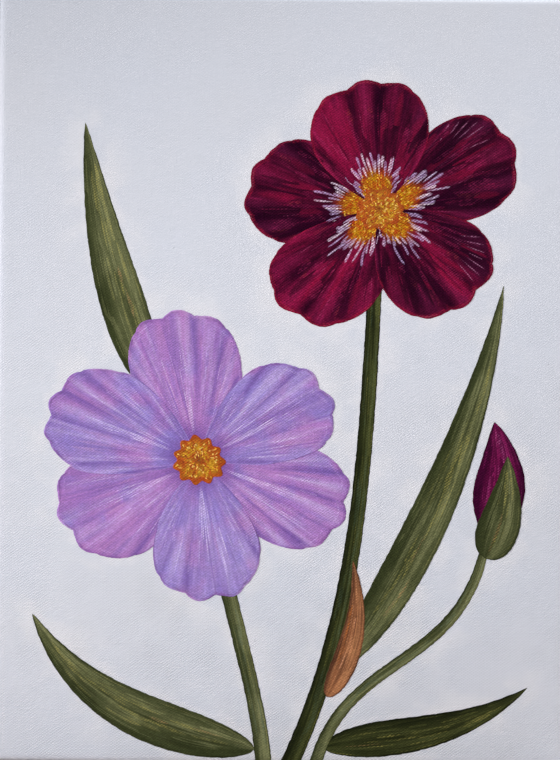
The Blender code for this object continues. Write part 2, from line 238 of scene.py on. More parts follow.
def petal_place(centre, view, depth, petal):
    angle, length, spread, ruffles, phase, bend, _ = petal

    def place(across, along):
        dome = (1 - np.abs(across) ** 2.6) ** 0.62
        waves = 0.65 * np.abs(np.cos(math.pi * ruffles * across / 2 + phase)) ** 0.7
        swell = 0.35 * np.cos(2.3 * ruffles * across + 2 * phase)
        edge = length * dome + depth * (waves + swell - 0.6) * np.minimum(1, 1.8 * dome) ** 2
        edge = edge + ROUGH_EDGE * (lattice_noise(across * 60 + 9, dome * 40, int(angle)) - 0.5) * 2
        turn = np.radians(angle + spread * across + bend * edge / length)
        return foreshortened(centre, view, along * edge, turn)

    return place


def centre_place(centre, view, radius, teeth, depth):
    def place(across, along):
        turn = math.pi * across
        edge = radius + depth * (np.cos(teeth * turn) + 0.4 * np.cos(3 * turn + 1))
        return foreshortened(centre, view, along * edge, turn)

    return place


def line_length(steer):
    return float(np.sum(np.linalg.norm(np.diff(np.array(steer), axis=0), axis=1)))


def blade_place(steer, width, widest, fullness, first_width, last_width, *_):
    length = line_length(steer)
    t = np.linspace(0, 1, 200)
    weights = np.stack([(1 - t) ** 3, 3 * t * (1 - t) ** 2, 3 * t**2 * (1 - t), t**3], axis=1)
    line = weights @ np.array(steer)
    ahead = np.gradient(line, axis=0)
    ahead /= np.linalg.norm(ahead, axis=1)[:, None]
    swell = width * np.maximum(np.sin(np.pi * t**widest), 0) ** fullness
    half = np.maximum(swell, first_width * (1 - t) + last_width * t) / 2
    sides = np.linspace(-1, 1, 21)
    starts = [np.interp(LOWEST, (line[:, 1] + ahead[:, 0] * half * side)[:20], t[:20]) for side in sides]

    def place(across, along):
        start = np.interp(across, sides, starts)
        along = start + (1 - start) * along
        x, z, ahead_x, ahead_z, reach = (np.interp(along, t, v) for v in (*line.T, *ahead.T, half))
        rough = lattice_noise(along * length * 700, 3 + across, 12) - 0.5
        reach = reach + np.minimum(ROUGH_EDGE, 0.3 * reach) * rough * 1.6
        return x - ahead_z * reach * across, z + ahead_x * reach * across

    return place


# Meshes

def face_depth(x, z):
    """The depth of the cloth's face, which isn't quite even and turns away at the lower fold."""
    turned = np.clip(FOLD - z, 0, FOLD)
    return FRONT + UNEVEN * layered_noise(x * 22 + 9, z * 22 + 9, 5, 2) + FOLD - np.sqrt(FOLD**2 - turned**2)


def placed(name, data):
    """A new object with this data, in the scene."""
    made = bpy.data.objects.new(name, data)
    bpy.context.scene.collection.objects.link(made)
    return made


def add_mesh(name, points, faces, material, colours=None, strokes=None, under=None):
    data = bpy.data.meshes.new(name)
    data.from_pydata([tuple(p) for p in points], [], [tuple(int(i) for i in f) for f in faces])
    data.validate()
    data.update()
    data.shade_smooth()
    for label, values in (("paint", colours), ("under", under)):
        if values is not None:
            attribute = data.color_attributes.new(label, "FLOAT_COLOR", "POINT")
            rgba = np.concatenate([values, np.ones((len(values), 1))], axis=1)
            attribute.data.foreach_set("color", rgba.astype(np.float32).ravel())
    if strokes is not None:
        layer = data.uv_layers.new(name="strokes")
        corner = np.zeros(len(data.loops), int)
        data.loops.foreach_get("vertex_index", corner)
        layer.data.foreach_set("uv", strokes[corner].astype(np.float32).ravel())
    data.materials.append(material)
    return placed(name, data)


def grid_faces(columns, rows, start=0):
    """Quads of a grid whose points run along the rows first."""
    i, j = np.meshgrid(np.arange(columns - 1), np.arange(rows - 1), indexing="ij")
    first = (start + i * rows + j).ravel()
    return np.stack([first, first + rows, first + rows + 1, first + 1], axis=1)


def grid_rim(columns, rows):
    """The points round the edge of a grid."""
    return np.concatenate([
        np.arange(rows), rows * np.arange(1, columns) + rows - 1,
        (columns - 1) * rows + np.arange(rows - 2, -1, -1), rows * np.arange(columns - 2, 0, -1),
    ])


def tube_faces(loops, n, start=0, flip=False):
    """The sides and the ends of a tube through loops of n points each."""
    last = start + n * (loops - 1)
    faces = [(i + k, i + (k + 1) % n, i + n + (k + 1) % n, i + n + k)
             for i in range(start, last, n) for k in range(n)]
    faces += [tuple(range(start, start + n))[::-1], tuple(range(last, last + n))]
    return [face[::-1] for face in faces] if flip else faces


class Paint:
    """The mesh of one painted form: its film, and the strokes on it."""

    def __init__(self, place, tint, layer, size, seed):
        self.place = place
        self.tint = tint
        self.level = FIRST_COAT + COAT * layer
        self.size = size
        self.random = np.random.default_rng(seed)
        self.points, self.faces, self.colours, self.under, self.strokes = [], [], [], [], []
        self.count = 0
        self.passes = 0

    def add(self, x, height, z, faces, colours, strokes, under=None):
        points = np.stack([x, face_depth(x, z) - height, z], axis=-1).reshape(-1, 3)
        self.points.append(points)
        self.faces += [tuple(f) for f in (np.asarray(faces) + self.count)]
        self.colours.append(linear(colours).reshape(-1, 3))
        self.under.append(linear(colours if under is None else under).reshape(-1, 3))
        self.strokes.append(strokes.reshape(-1, 2))
        self.count += len(points)

    def film(self, columns, rows, relief, first=0.0, sides=1.0, steps=1):
        """The film itself: a grid over the form, with its edges brought down to the cloth.

        Its underside is cut in these steps along the form, so that a stem's can turn with the cloth at the
        fold.
        """
        self.relief = relief
        self.sides = sides
        bunched = math.pi / 2 * 0.92
        across = sides * np.sin(np.linspace(-1, 1, columns) * bunched) / math.sin(bunched)
        along = first + (1 - first) * np.linspace(0, 1, rows) ** 0.9
        u, v = np.meshgrid(across, along, indexing="ij")
        x, z = self.place(u, v)
        colours = self.tint(u, v, x, z)
        strokes = np.stack([u * self.size[0], v * self.size[1]], axis=-1)
        self.add(x, self.level + relief(u, v), z, grid_faces(columns, rows), colours, strokes)
        rim = grid_rim(columns, rows)
        x, z = x.ravel()[rim], z.ravel()[rim]
        out = np.stack([np.roll(z, -1) - np.roll(z, 1), np.roll(x, 1) - np.roll(x, -1)], axis=1)
        out /= np.maximum(np.linalg.norm(out, axis=1), 1e-9)[:, None]
        area = np.sum(x * np.roll(z, -1) - np.roll(x, -1) * z)
        out *= np.sign(area) * 0.6 * self.level
        start = self.count
        self.add(x + out[:, 0], np.full(len(x), -SUNK), z + out[:, 1], np.zeros((0, 4), int),
                 colours.reshape(-1, 3)[rim], strokes.reshape(-1, 2)[rim])
        self.faces += [(rim[i - 1], rim[i], start + i, start + (i - 1) % len(rim)) for i in range(len(rim))]
        far = 2 * rows + columns - 3
        cuts = np.linspace(0, rows - 1, steps + 1).astype(int)
        for low, high in zip(cuts, cuts[1:]):
            tip = range(rows, rows + columns - 2) if high == rows - 1 else ()
            base = range(far + 1, len(rim)) if low == 0 else ()
            loop = [*range(low, high + 1), *tip, *range(far - high, far - low + 1), *base]
            self.faces.append(tuple(start + k for k in reversed(loop)))

    def stroke(self, across, along, width, colour, strength=0.9, soft=True, taper=(0.25, 0.5), dry=0.0,
               lengthwise=True):
        """A stroke of the brush through these places, thin at its ends. Soft ones blend into the paint below.

        A lengthwise stroke runs from the form's base to its tip, and any other runs across the form.
        """
        n = len(across)
        t = np.linspace(0, 1, n)
        nudge = 0.003
        along = np.clip(along, 0.002, 1 - 2 * nudge)
        across = np.clip(across, nudge - self.sides, self.sides - nudge)
        here = np.stack(self.place(across, along))
        left = np.stack(self.place(across - nudge * (across >= 0), along))
        right = np.stack(self.place(across + nudge * (across < 0), along))
        by_u = (right - left) / nudge
        by_v = (np.stack(self.place(across, along + nudge)) - here) / nudge
        turn = np.abs(by_u[0] * by_v[1] - by_u[1] * by_v[0])
        body = step(0, taper[0], t) * (1 - step(1 - taper[1], 1, t))
        wobble = 1 + 0.25 * (lattice_noise(t * 5, self.random.random() * 60, 3) - 0.5)
        half = width / 2 * (0.25 + 0.75 * body) * wobble
        s = np.array([-1, -0.6, 0, 0.6, 1])
        run, aside = (by_v, by_u) if lengthwise else (by_u, by_v)
        unit = np.maximum(turn / np.linalg.norm(run, axis=0), 0.3 * np.linalg.norm(aside, axis=0))
        off = (half / unit)[:, None] * s
        still = np.zeros_like(off)
        u = np.clip(across[:, None] + (off if lengthwise else still), -self.sides, self.sides)
        v = np.clip(along[:, None] - (still if lengthwise else off), 0.001, 0.999)
        x, z = self.place(u, v)
        self.passes += 1
        lift = STROKE_CROWN * (0.25 if soft else 1) * body[:, None] * (1 - s**2)
        height = self.level + self.relief(u, v) + STROKE_LIFT + PASS_LIFT * self.passes + lift
        if not soft:
            height = height - STROKE_EDGE * (np.abs(s) == 1)
        seed = self.random.random() * 60
        grain = 1 - dry * step(0.35, 0.65, lattice_noise(t[:, None] * 14, seed + 2.5 * s, 8))
        share = strength * step(0, 0.3, body)[:, None] * grain
        share = share * ((1 - s**2) if soft else (1 - 0.35 * np.abs(s) ** 3))
        under = self.tint(u, v, x, z)
        colours = mix(under, colour, share)
        strokes = np.stack([u * self.size[0], v * self.size[1]], axis=-1)
        faces = grid_faces(n, len(s))
        edges = np.stack([x[1, 2] - x[0, 2], z[1, 2] - z[0, 2], x[0, 4] - x[0, 0], z[0, 4] - z[0, 0]])
        faces = faces[:, ::-1] if edges[0] * edges[3] - edges[1] * edges[2] > 0 else faces
        self.add(x, height, z, faces, colours, strokes, mix(colours, under, dry))

    def finish(self, name, material, node, slot):
        made = add_mesh(name, np.concatenate(self.points), self.faces, material, np.concatenate(self.colours),
                        np.concatenate(self.strokes), np.concatenate(self.under))
        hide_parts(node)
        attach(made, "root")


# Material nodes

class Nodes:
    """Short calls for the nodes of one material."""

    def __init__(self, name):
        self.material = bpy.data.materials.new(name)
        self.material.use_nodes = True
        self.tree = self.material.node_tree
        self.shader = self.tree.nodes["Principled BSDF"]

    def add(self, kind, inputs=None, **settings):
        node = self.tree.nodes.new("ShaderNode" + kind)
        for key, value in settings.items():
            setattr(node, key, value)
        for key, value in (inputs or {}).items():
            self.feed(node.inputs[key], value)
        return node

    def feed(self, socket, value):
        if isinstance(value, bpy.types.NodeSocket):
            self.tree.links.new(value, socket)
        else:
            socket.default_value = value

    def math(self, operation, first, *others):
        """The operation on the first value and each of the others in turn."""
        for other in others or (0.0,):
            first = self.add("Math", {0: first, 1: other}, operation=operation).outputs[0]
        return first

    def times(self, *values):
        return self.math("MULTIPLY", *values)

    def plus(self, *values):
        return self.math("ADD", *values)

    def parts(self, vector):
        return self.add("SeparateXYZ", {0: vector}).outputs

    def point(self):
        return self.add("TexCoord").outputs["Object"]

    def painted(self, label):
        return self.add("Attribute", attribute_name=label).outputs["Color"]

    def noise(self, vector, scale, detail=3.0, roughness=0.5):
        inputs = {"Vector": vector, "Scale": scale, "Detail": detail, "Roughness": roughness}
        return self.add("TexNoise", inputs).outputs["Fac"]

    def stretched(self, vector, scale, turn=0.0):
        inputs = {"Vector": vector, "Scale": scale, "Rotation": (0, turn, 0)}
        return self.add("Mapping", inputs).outputs[0]

    def ranged(self, value, low, high, to_low, to_high):
        inputs = {0: value, 1: low, 2: high, 3: to_low, 4: to_high}
        return self.add("MapRange", inputs).outputs[0]

    def mixed(self, share, first, second, blend="MIX"):
        node = self.add("Mix", {"Factor": share}, data_type="RGBA", blend_type=blend)
        self.feed(node.inputs[6], first)
        self.feed(node.inputs[7], second)
        return node.outputs[2]

    def shaded(self, colour, value):
        """A colour that is lighter or darker by a value."""
        shade = self.add("CombineColor", {0: value, 1: value, 2: value}).outputs[0]
        return self.mixed(1.0, colour, shade, "MULTIPLY")

    def bump(self, height, distance, strength=1.0, under=None):
        inputs = {"Height": height, "Distance": distance, "Strength": strength}
        if under is not None:
            inputs["Normal"] = under
        return self.add("Bump", inputs).outputs[0]

    def finish(self, **inputs):
        """The material, with these inputs of its shader, such as Base_Color."""
        for key, value in inputs.items():
            self.feed(self.shader.inputs[key.replace("_", " ")], value)
        return self.material


def opaque(colour):
    return (*linear(colour), 1)


def weave(nodes):
    """The height of a plain weave, from about -1 to 1, whose ribs show most along one diagonal, and its
    slubs. The threads run on over the edges, as if the cloth lay flat.
    """
    point = nodes.point()
    place = nodes.parts(point)
    depth = nodes.math("SUBTRACT", place[1], FRONT)
    unfolded = {}
    for axis, middle, reach in ((0, 0, WIDTH / 2 - FOLD), (2, HEIGHT / 2, HEIGHT / 2 - FOLD)):
        off = nodes.math("SUBTRACT", place[axis], middle)
        beyond = nodes.math("GREATER_THAN", nodes.math("ABSOLUTE", off), reach)
        unfolded[axis] = nodes.plus(place[axis], nodes.times(nodes.math("SIGN", off), beyond, depth))
    turned = nodes.stretched(nodes.add("CombineXYZ", unfolded).outputs[0], (1, 1, 1), OFF_GRAIN)
    drift = nodes.noise(point, 60.0, 2.0)
    parts = nodes.parts(turned)
    across = nodes.plus(nodes.times(parts[0], math.pi / WEFT_PITCH), nodes.times(drift, 2.5))
    up = nodes.plus(nodes.times(parts[2], math.pi / WARP_PITCH), nodes.times(drift, 2.0))
    rib = nodes.math("COSINE", nodes.math("SUBTRACT", across, up))
    cross_rib = nodes.math("COSINE", nodes.plus(across, up))
    filled = nodes.ranged(nodes.noise(point, 75.0, 1.0), 0.3, 0.7, 0.55, 1.3)
    over = nodes.times(nodes.math("SUBTRACT", nodes.times(rib, 0.66), nodes.times(cross_rib, 0.34)), filled)
    slubs = nodes.plus(nodes.noise(nodes.stretched(turned, (70, 70, 1000)), 1.0, 2.0),
                       nodes.noise(nodes.stretched(turned, (1000, 1000, 70)), 1.0, 2.0), -1.0)
    return over, slubs, point


def weave_lit_and_shaded(nodes, colour, over, slubs, weave_share, slub_share):
    """A colour with painted light on the threads' crowns and on the slubs, and painted shade between the
    threads.
    """
    value = nodes.plus(nodes.times(over, weave_share), 1.0, nodes.times(slubs, slub_share))
    return nodes.shaded(colour, value)


def thread_height(nodes, over, slubs):
    return nodes.plus(nodes.times(over, 0.5), slubs)


def primed_material():
    """White primer, thickest at the top, with nubs of cotton below, and cream laid round the flowers."""
    nodes = Nodes("primed_cotton")
    over, slubs, point = weave(nodes)
    place = nodes.parts(point)
    middle = nodes.ranged(nodes.math("ABSOLUTE", place[0]), 0.07, 0.12, 1.5, 1.05)
    # This scales the weave's relief and its painted light and shade: stronger low down, most in the middle of
    # the bottom, weaker to the right
    over = nodes.times(
        over,
        nodes.ranged(place[2], 0.18, 0.32, 1.95, 0.95),
        nodes.ranged(place[2], 0.07, 0.14, middle, 1.0),
        nodes.ranged(place[0], -0.15, 0.15, 0.93, 0.80),
    )
    cloud = nodes.ranged(nodes.noise(point, 14.0), 0.35, 0.65, 0, 1)
    tone = nodes.mixed(cloud, (0.988, 0.993, 1.0, 1), (1.0, 0.992, 0.981, 1))
    colour = nodes.mixed(1.0, nodes.painted("paint"), tone, "MULTIPLY")
    nubs = nodes.ranged(nodes.noise(point, 420.0, 1.0), 0.66, 0.80, 0, 1)
    threads = nodes.bump(thread_height(nodes, over, slubs), 0.00010, 0.9)
    return nodes.finish(
        # The weave's painted light and shade on the primer
        Base_Color=weave_lit_and_shaded(nodes, colour, over, slubs, 0.045, 0.035),
        Roughness=nodes.ranged(nodes.noise(point, 900.0), 0.3, 0.7, 0.62, 0.8),
        Specular_IOR_Level=0.3,
        Normal=nodes.bump(nubs, 0.00013, 1.0, threads),
    )


def raw_material():
    """Unprimed cotton: cream threads with specks of seed."""
    nodes = Nodes("raw_cotton")
    over, slubs, point = weave(nodes)
    cloud = nodes.ranged(nodes.noise(point, 60.0), 0.3, 0.7, 0, 1)
    thread = nodes.mixed(cloud, opaque((210, 199, 175)), opaque((215, 204, 180)))
    speck = nodes.ranged(nodes.noise(point, 700.0, 2.0), 0.72, 0.78, 0, 0.7)
    spotted = nodes.mixed(speck, thread, opaque((150, 122, 84)))
    return nodes.finish(
        # The weave's painted light and shade on the raw cotton
        Base_Color=weave_lit_and_shaded(nodes, spotted, over, slubs, 0.10, 0.22),
        Roughness=0.92,
        Sheen_Weight=0.15,
        Normal=nodes.bump(thread_height(nodes, over, slubs), 0.00022),
    )


def paint_material(name, roughness, shine, bristle, weave_share):
    """Thin satin acrylic: the laid colour, streaks of the bristles along the strokes, and the weave below."""
    nodes = Nodes(name)
    over, slubs, point = weave(nodes)
    strokes = nodes.add("UVMap", uv_map="strokes").outputs[0]
    fine = nodes.noise(nodes.stretched(strokes, (2600, 70, 1)), 1.0, 3.0, 0.6)
    broad = nodes.noise(nodes.stretched(strokes, (900, 34, 1)), 1.0, 2.0, 0.6)
    # Flecks about a millimetre across, mostly lighter: partly paint caught at random, partly painted glints
    # off the weave
    speck_and_glint = nodes.noise(nodes.stretched(point, (900, 900, 1300)), 1.0, 1.0)
    laid = nodes.mixed(nodes.ranged(over, -0.5, 0.3, 0, 1), nodes.painted("under"), nodes.painted("paint"))
    lift = nodes.times(
        nodes.ranged(fine, 0.25, 0.75, 1 - bristle, 1 + bristle),
        nodes.ranged(broad, 0.3, 0.7, 1 - bristle, 1 + bristle),
        nodes.ranged(speck_and_glint, 0.35, 0.75, 1 - 0.5 * weave_share, 1 + weave_share),
    )
    threads = nodes.bump(thread_height(nodes, over, slubs), 0.00018, 0.9)
    return nodes.finish(
        # The weave's painted light and shade under the paint
        Base_Color=weave_lit_and_shaded(nodes, nodes.shaded(laid, lift), over, slubs, weave_share, weave_share),
        Roughness=nodes.ranged(nodes.noise(point, 300.0), 0.3, 0.7, roughness - 0.05, roughness + 0.08),
        Specular_IOR_Level=shine,
        Normal=nodes.bump(fine, 0.00006, 0.6, threads),
    )


def wood_material(name, axis, pale, dark, rings):
    """Planed softwood with its grain along one axis."""
    nodes = Nodes(name)
    point = nodes.point()

    def grain(fast, slow):
        return nodes.stretched(point, tuple(slow if i == axis else fast for i in range(3)))

    bend = nodes.times(nodes.noise(point, 6.0, 2.0), 0.5)
    late = nodes.math("SINE", nodes.times(nodes.plus(nodes.noise(grain(34, 1.2), 2.2, 2.0), bend), rings))
    fibre = nodes.noise(grain(1500, 40), 1.0)
    tone = nodes.mixed(nodes.ranged(late, 0.0, 1.0, 0, 0.85), opaque(pale), opaque(dark))
    return nodes.finish(
        Base_Color=nodes.shaded(tone, nodes.ranged(fibre, 0.3, 0.7, 0.9, 1.06)),
        Roughness=nodes.ranged(fibre, 0.3, 0.7, 0.55, 0.75),
        Normal=nodes.bump(late, 0.00006, 0.5, nodes.bump(fibre, 0.00012, 0.7)),
    )


def steel_material():
    """Galvanised wire, brushed along its length by the drawing die."""
    nodes = Nodes("staple_steel")
    dull = nodes.noise(nodes.point(), 800.0)
    return nodes.finish(
        Base_Color=nodes.mixed(dull, (0.48, 0.49, 0.50, 1), (0.72, 0.73, 0.74, 1)),
        Metallic=1.0,
        Roughness=nodes.ranged(dull, 0.3, 0.7, 0.28, 0.45),
        Normal=nodes.bump(dull, 0.00003, 0.6),
    )


# The painting's colours

def folds(u, v, ruffles, phase, seed):
    """From 0 in the valleys, which end in the notches of the rim, to 1 on the ridges between them."""
    bent = u + 0.05 * (layered_noise(u * 3 + 7, v * 2.5, seed) - 0.5) * (1.1 - v)
    depth = 0.25 + 0.75 * step(0.3, 0.65, layered_noise(u * 3.3 + 11, v * 1.6, seed + 8, 2))
    return 0.6 + (np.cos(math.pi * ruffles * bent / 2 + phase) ** 2 - 0.6) * depth


def lilac_tint(seed, pink, ruffles, phase):
    """Lilac with pink and periwinkle clouds, folds that deepen to the rim, and a violet base."""
    def tint(u, v, x, z):
        cloud = layered_noise(x * 62 + seed, z * 62, seed)
        hue = layered_noise(x * 85 + seed, z * 70, seed + 5) + 0.5 * pink
        streak = layered_noise(u * 26 + 1.5 * v, v * 2.2, seed + 1, 4)
        wide = layered_noise(u * 7 + 0.8 * v, v * 1.5, seed + 2)
        fold = folds(u, v, ruffles, phase, seed + 3)
        worn = lattice_noise(u * 7 + 5, 3, seed + 9)
        rim = step(0.975, 1.0, v + 0.02 * (lattice_noise(u * 40, 3, seed + 4) - 0.5))
        return coated(
            (142, 120, 186),
            ((160, 110, 178), step(0.35, 0.65, cloud + pink)),
            ((172, 118, 178), 0.6 * step(0.52, 0.78, hue)),
            ((128, 116, 190), 0.6 * step(0.48, 0.2, hue)),
            ((116, 88, 160), 0.45 * step(0.55, 0.25, wide) * step(0.1, 0.4, v)),
            ((176, 158, 206), 0.40 * step(0.50, 0.8, wide) * step(0.1, 0.4, v)),
            ((180, 160, 208), 0.50 * fold**3 * step(0.45, 0.85, v) * step(1.0, 0.9, v)),
            ((104, 76, 150), 0.70 * (1 - fold) ** 4 * step(0.25, 0.95, v)),
            ((196, 182, 218), 0.30 * step(0.55, 0.8, streak) * step(0.15, 0.5, v)),
            ((110, 84, 162), 0.30 * step(0.45, 0.2, streak)),
            ((108, 78, 154), 0.50 * step(0.45, 1.0, np.abs(u)) * step(0.95, 0.5, v)),
            ((94, 62, 138), 0.65 * step(0.34, 0.12, v + 0.05 * (streak - 0.5))),
            ((124, 78, 148), 0.6 * rim * step(0.35, 0.7, worn)),
            ((190, 150, 196), 0.5 * rim * step(0.45, 0.2, worn)),
        )

    return tint


def burgundy_tint(seed, warm, ruffles, phase):
    """Burgundy between plum-black and crimson in broad soft strokes, with gold at the throat."""
    def tint(u, v, x, z):
        broad = layered_noise(u * 4.2 + 0.7 * v + 3, v * 1.3, seed, 2) + warm / 2
        cloud = layered_noise(x * 70 + seed, z * 70, seed + 6)
        streak = layered_noise(u * 26 + 1.5 * v, v * 1.8, seed + 1, 4)
        fold = folds(u, v, ruffles, phase, seed + 3)
        rim = step(0.965, 1.0, v + 0.02 * (lattice_noise(u * 36, 3, seed + 4) - 0.5))
        throat = v + 0.10 * np.abs(u)
        stipple = lattice_noise(u * 60, v * 70, seed + 9)
        gold = coated(
            (168, 114, 18),
            ((140, 62, 20), step(0.40, 0.7, stipple)),
            ((160, 58, 22), 0.7 * step(0.5, 0.75, layered_noise(x * 260, z * 260, seed, 2))),
            ((202, 156, 40), 0.85 * step(0.62, 0.85, lattice_noise(u * 80, v * 90, seed + 12))),
            ((150, 42, 22), 0.6 * step(0.26, 0.36, throat)),
        )
        return coated(
            (62, 6, 32),
            ((94, 10, 44), step(0.3, 0.7, cloud + warm)),
            ((34, 2, 24), 0.9 * step(0.50, 0.28, broad)),
            ((132, 16, 56), 0.8 * step(0.52, 0.74, broad) * step(0.1, 0.5, v)),
            ((36, 2, 24), 0.6 * step(0.50, 0.22, streak)),
            ((144, 28, 74), 0.5 * step(0.56, 0.82, streak) * step(0.15, 0.6, v)),
            ((146, 40, 88), 0.35 * fold**2 * step(0.55, 0.9, v)),
            ((32, 2, 22), 0.65 * (1 - fold) ** 3 * step(0.35, 0.95, v)),
            ((30, 2, 22), 0.65 * step(0.5, 0.98, np.abs(u)) * step(1.0, 0.6, v)),
            ((128, 18, 46), 0.75 * rim),
            (gold, step(0.40, 0.26, throat + 0.09 * (streak - 0.5))),
        )

    return tint


def gold_tint(seed):
    """Stippled gold with orange, red-brown round its edge and its middle."""
    def tint(u, v, x, z):
        stipple = layered_noise(x * 1400, z * 1400, seed, 2)
        edge = 0.3 * (stipple - 0.5)
        return coated(
            (152, 100, 22),
            ((188, 140, 34), step(0.3, 0.7, stipple)),
            ((156, 60, 22), 0.6 * step(0.5, 0.75, layered_noise(x * 240, z * 240, seed + 2, 2))),
            ((162, 68, 20), 0.85 * step(0.55, 0.75, layered_noise(x * 1100, z * 1100, seed + 1, 2))),
            ((150, 54, 18), 0.7 * step(0.62, 0.98, v + edge)),
            ((120, 52, 20), 0.6 * step(0.35, 0.05, v + edge / 1.5)),
        )

    return tint


def green_tint(seed, base, dark, light, length):
    """A leaf or a stem: light on its left, dark on its right, with long soft streaks."""
    def tint(u, v, x, z):
        along = v * length * 24
        streak = layered_noise(u * 3.4 + 0.6 * v, along, seed, 3)
        fine = layered_noise(u * 11 + 0.6 * v, along * 1.6, seed + 2, 3)
        cloud = layered_noise(x * 45, z * 45, seed + 3)
        return coated(
            base,
            (dark, 0.55 * step(0.6, 0.35, cloud)),
            (light, 0.35 * step(0.45, 0.75, streak) + 0.20 * step(0.5, 0.8, fine)),
            (dark, 0.45 * step(0.52, 0.25, streak) + 0.20 * step(0.48, 0.2, fine)),
            (dark, 0.75 * step(0.15, 0.95, u)),
            (light, 0.45 * np.exp(-((u + 0.45) / 0.28) ** 2)),
            (dark, 0.5 * step(-0.8, -1.0, u)),
        )

    return tint


# The painting's strokes

def form_strokes(paint, count, width, colour, reach, length, strength, dry=0.0, soft=True, spread=0.85):
    """Strokes along a petal or a leaf, at random places within the reach."""
    random = paint.random
    for _ in range(count):
        start = random.uniform(*reach)
        v = np.linspace(start, min(start + random.uniform(*length), 0.985), 14)
        middle = random.uniform(-spread, spread)
        sway = random.uniform(-0.1, 0.1) * (v - v[0])
        u = middle * (1 + sway) + 0.012 * np.sin(5 * v + 6 * random.random())
        own_width = width * random.uniform(0.6, 1.3)
        paint.stroke(u, v, own_width, colour, strength * random.uniform(0.6, 1.0), soft, dry=dry)


def rim_strokes(paint, count, width, colour, strength, edge, gaps):
    """Broken lines just inside a form's rim."""
    random = paint.random
    for i in range(count):
        middle = -0.9 + 1.8 * (i + random.uniform(0.3, 0.7)) / count
        run = random.uniform(1 - gaps, 1.3) * 1.8 / count
        u = np.linspace(middle - run / 2, middle + run / 2, 22)
        v = np.full(22, edge) - 0.006 * np.abs(np.sin(u * 9 + i))
        paint.stroke(u, v, width * random.uniform(0.7, 1.3), colour, strength * random.uniform(0.6, 1), True,
                     (0.3, 0.3), 0.6, False)


def veins(paint, petal, width, colour, strength, ridge):
    """Fine lines along a petal's folds: on the ridges, or in the valleys, which end in the notches."""
    ruffles, phase = petal[3], petal[4]
    random = paint.random
    for k in range(-8, 9):
        u = ((k + (0 if ridge else 0.5)) * math.pi - phase) * 2 / (math.pi * ruffles)
        if abs(u) > 0.93:
            continue
        start = random.uniform(0.16, 0.5)
        v = np.linspace(start, random.uniform(0.78, 0.97) if ridge else 0.985, 20)
        wander = 0.012 * np.sin(4 * v + 6 * random.random())
        own_width = width * random.uniform(0.6, 1.3)
        paint.stroke(u + wander, v, own_width, colour, strength * random.uniform(0.5, 1), True,
                     (0.5, 0.5) if ridge else (0.7, 0.1), 0.5)


def petal_paint(blossom, petal, tint, seed):
    """The film of one petal, to which its strokes are added."""
    angle, length, spread, *_, layer = petal
    paint = Paint(petal_place(*blossom, petal), tint, layer, (length * math.radians(spread), length), seed)

    def relief(u, v):
        return RELIEF * (layered_noise(u * 9, v * 2, seed, 2) + 0.6 * step(0.93, 0.99, v) - 0.3)

    paint.film(170, 72, relief, 0.10, 0.985)
    return paint


def lilac_petal(number, petal, material):
    seed = 100 + 10 * number
    pink = 0.22 if number <= 3 else -0.06
    paint = petal_paint(LILAC, petal, lilac_tint(seed, pink, petal[3], petal[4]), seed)
    for row in (
        (12, 0.0040, (180, 152, 206), (0.2, 0.6), (0.25, 0.5), 0.40, 0.3),
        (9, 0.0034, (124, 110, 190), (0.14, 0.6), (0.25, 0.5), 0.40, 0.3),
        (7, 0.0030, (182, 136, 176), (0.3, 0.6), (0.2, 0.4), 0.50, 0.4),
        (10, 0.0022, (196, 176, 214), (0.4, 0.75), (0.12, 0.25), 0.45, 0.9, False),
        (8, 0.0020, (122, 92, 170), (0.3, 0.7), (0.12, 0.25), 0.40, 0.8, False),
        (12, 0.0012, (104, 78, 156), (0.14, 0.5), (0.2, 0.4), 0.45, 0.5),
    ):
        form_strokes(paint, *row)
    veins(paint, petal, 0.0016, (94, 64, 142), 0.50, False)
    veins(paint, petal, 0.0014, (206, 196, 228), 0.75, True)
    for line in (-0.06, -0.025, 0.02, 0.065):
        v = np.linspace(0.16, 0.9 - 3 * abs(line), 26)
        u = line * (0.5 + 0.6 * v) + 0.02 * np.sin(3 * v + number)
        paint.stroke(u, v, 0.0010, (222, 212, 238), 0.75, True, (0.3, 0.6), 0.6)
    form_strokes(paint, 9, 0.0007, (226, 216, 240), (0.2, 0.6), (0.15, 0.35), 0.7, 0.5)
    rim_strokes(paint, 7, 0.0010, (92, 60, 112), 0.8, 0.990, 0.45)
    rim_strokes(paint, 5, 0.0013, (196, 174, 220), 0.4, 0.955, 0.85)
    paint.finish(f"lilac_petal_{number}_paint", material, f"paint_lilac_petal_{number}",
                 "pink_lilac_paint" if number <= 3 else "lilac_paint")


def hairs(paint, count=24):
    """White and lilac hairs round the gold, each laid from its thin root to a round tip."""
    random = paint.random
    for i in range(count):
        middle = -0.80 + 1.60 * (i + random.uniform(0.2, 0.8)) / count
        start = 0.30 - 0.08 * abs(middle) + random.uniform(-0.05, 0.05)
        v = np.linspace(start, start + random.uniform(0.09, 0.23), 12)
        u = middle * np.linspace(1, random.uniform(0.90, 1.25), 12) + 0.022 * np.sin(16 * v + i)
        colour = ((226, 218, 232), (200, 188, 216), (176, 160, 200))[random.integers(3)]
        paint.stroke(u, v, random.uniform(0.0010, 0.0017), colour, 0.92, False, (0.6, 0.10), 0.35)


